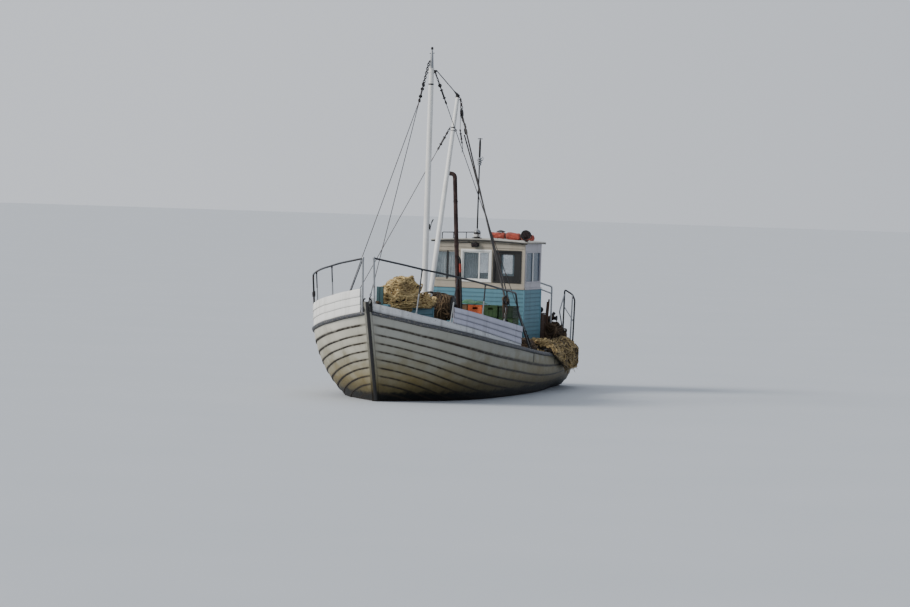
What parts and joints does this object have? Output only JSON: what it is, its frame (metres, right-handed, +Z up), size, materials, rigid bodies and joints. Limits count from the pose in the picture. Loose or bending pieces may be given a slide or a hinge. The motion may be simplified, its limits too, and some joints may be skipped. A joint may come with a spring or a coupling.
{
  "type": "fishing trawler",
  "caption": "small wooden lap-planked fishing trawler afloat, with wheelhouse aft, mast and cargo boom, net drum, net bin and full underwater hull",
  "frame": {"origin": "on the waterline, on the centreline, amidships", "axes": "+X to the bow, +Y to port, +Z up"},
  "size_m": [11.3592, 4.2305, 9.05],
  "materials": {
    "hull_paint": "weathered white paint on planks",
    "grey_white_paint": "weathered grey-white paint on planks",
    "deck_paint": "worn deck paint",
    "black_paint": "black bottom paint",
    "blue_grey_paint": "scuffed blue-grey paint",
    "bronze": "dull bronze",
    "engine_iron": "painted iron",
    "rail_steel": "galvanised, with rust",
    "dark_steel": "dark weathered paint",
    "rusty_steel": "rusty brown",
    "roof_paint": "off-white paint",
    "house_paint": "weathered beige paint",
    "teal_paint": "weathered blue paint on boards",
    "window_glass": "clear",
    "bare_wood": "oiled",
    "spar_paint": "white paint",
    "orange_canvas": "faded orange",
    "orange_plastic": "faded orange",
    "green_plastic": "faded green",
    "dark_net": "dark tarred net",
    "net_cloth": "yellow-brown net"
  },
  "bodies": {
    "boat": {"hull": "hull_paint", "engine": "engine_iron", "sheer_strake_port": "hull_paint", "sheer_strake_starboard": "hull_paint", "deck": "deck_paint", "transom": "hull_paint", "stem": "black_paint", "keel": "black_paint", "rub_rail_port": "blue_grey_paint", "rub_rail_starboard": "blue_grey_paint", "bulwark_starboard": "hull_paint", "bulwark_port_low": "grey_white_paint", "bulwark_port_panel": "grey_white_paint", "bow_rail_port": "rail_steel", "bow_rail_starboard": "rail_steel", "stern_rail_port": "rail_steel", "stern_rail_starboard": "rail_steel", "aft_handrail_port": "rail_steel", "wheelhouse_roof": "roof_paint", "wheelhouse_front": "house_paint", "wheelhouse_port": "teal_paint", "wheelhouse_starboard": "teal_paint", "wheelhouse_rear": "teal_paint", "front_glass_1": "window_glass", "front_glass_2": "window_glass", "front_glass_3": "window_glass", "side_glass_port": "window_glass", "side_glass_starboard": "window_glass", "rear_glass": "window_glass", "wheelhouse_floor": "bare_wood", "roof_rail": "dark_steel", "lantern_pole": "dark_steel", "searchlight": "dark_steel", "roof_roll": "orange_canvas", "mast": "spar_paint", "forestay": "rail_steel", "shroud_port": "rail_steel", "shroud_starboard": "rail_steel", "exhaust_pipe": "rusty_steel", "trunk": "teal_paint", "crates_lower": "green_plastic", "crate_orange": "orange_plastic", "crate_green": "green_plastic", "crate_dark_green": "green_plastic", "net_drum_stand": "dark_steel", "net_bin": "teal_paint", "net_heap": "net_cloth", "quarter_net": "net_cloth", "bow_bitt": "dark_steel", "stern_davit": "dark_steel", "gear_box": "bare_wood"},
    "propeller": {"propeller": "bronze"},
    "rudder": {"rudder": "black_paint"},
    "helm": {"helm": "bare_wood"},
    "door": {"wheelhouse_door": "teal_paint", "door_glass": "window_glass"},
    "lid": {"hatch_lid": "deck_paint"},
    "drum": {"net_drum": "dark_net"},
    "boom_swivel": {"boom_swivel": "dark_steel"},
    "boom": {"boom": "spar_paint"}
  },
  "joints": [
    {"name": "propeller_spin", "type": "hinge", "parent": "boat", "child": "propeller", "pos_m": [-4.11, 0, -0.83], "axis": [1, 0, 0], "continuous": true},
    {"name": "rudder_turn", "type": "hinge", "parent": "boat", "child": "rudder", "pos_m": [-4.55, 0, -0.4], "axis": [0, 0, 1], "range_deg": [-35, 35]},
    {"name": "helm_turn", "type": "hinge", "parent": "boat", "child": "helm", "pos_m": [-3.221, -0.35, 2.18], "axis": [1, 0, 0], "range_deg": [-280, 280]},
    {"name": "wheelhouse_door_hinge", "type": "hinge", "parent": "boat", "child": "door", "pos_m": [-4.22, -0.024, 2.33], "axis": [0, 0, 1], "range_deg": [0, 110]},
    {"name": "hatch_lid_hinge", "type": "hinge", "parent": "boat", "child": "lid", "pos_m": [0.165, 0, 1.451], "axis": [0, 1, 0], "range_deg": [0, 95]},
    {"name": "net_drum_turn", "type": "hinge", "parent": "boat", "child": "drum", "pos_m": [0.75, 0, 1.96], "axis": [0, 1, 0], "continuous": true},
    {"name": "boom_slew", "type": "hinge", "parent": "boat", "child": "boom_swivel", "pos_m": [1.58, 0, 2.1], "axis": [0, 0, 1], "range_deg": [-35, 35]},
    {"name": "boom_luff", "type": "hinge", "parent": "boom_swivel", "child": "boom", "pos_m": [1.4, 0.075, 2.1], "axis": [0, 1, 0], "range_deg": [-22, 12]}
  ],
  "couplings": [
    {"joint": "helm_turn", "follows": "rudder_turn", "ratio": 8}
  ]
}
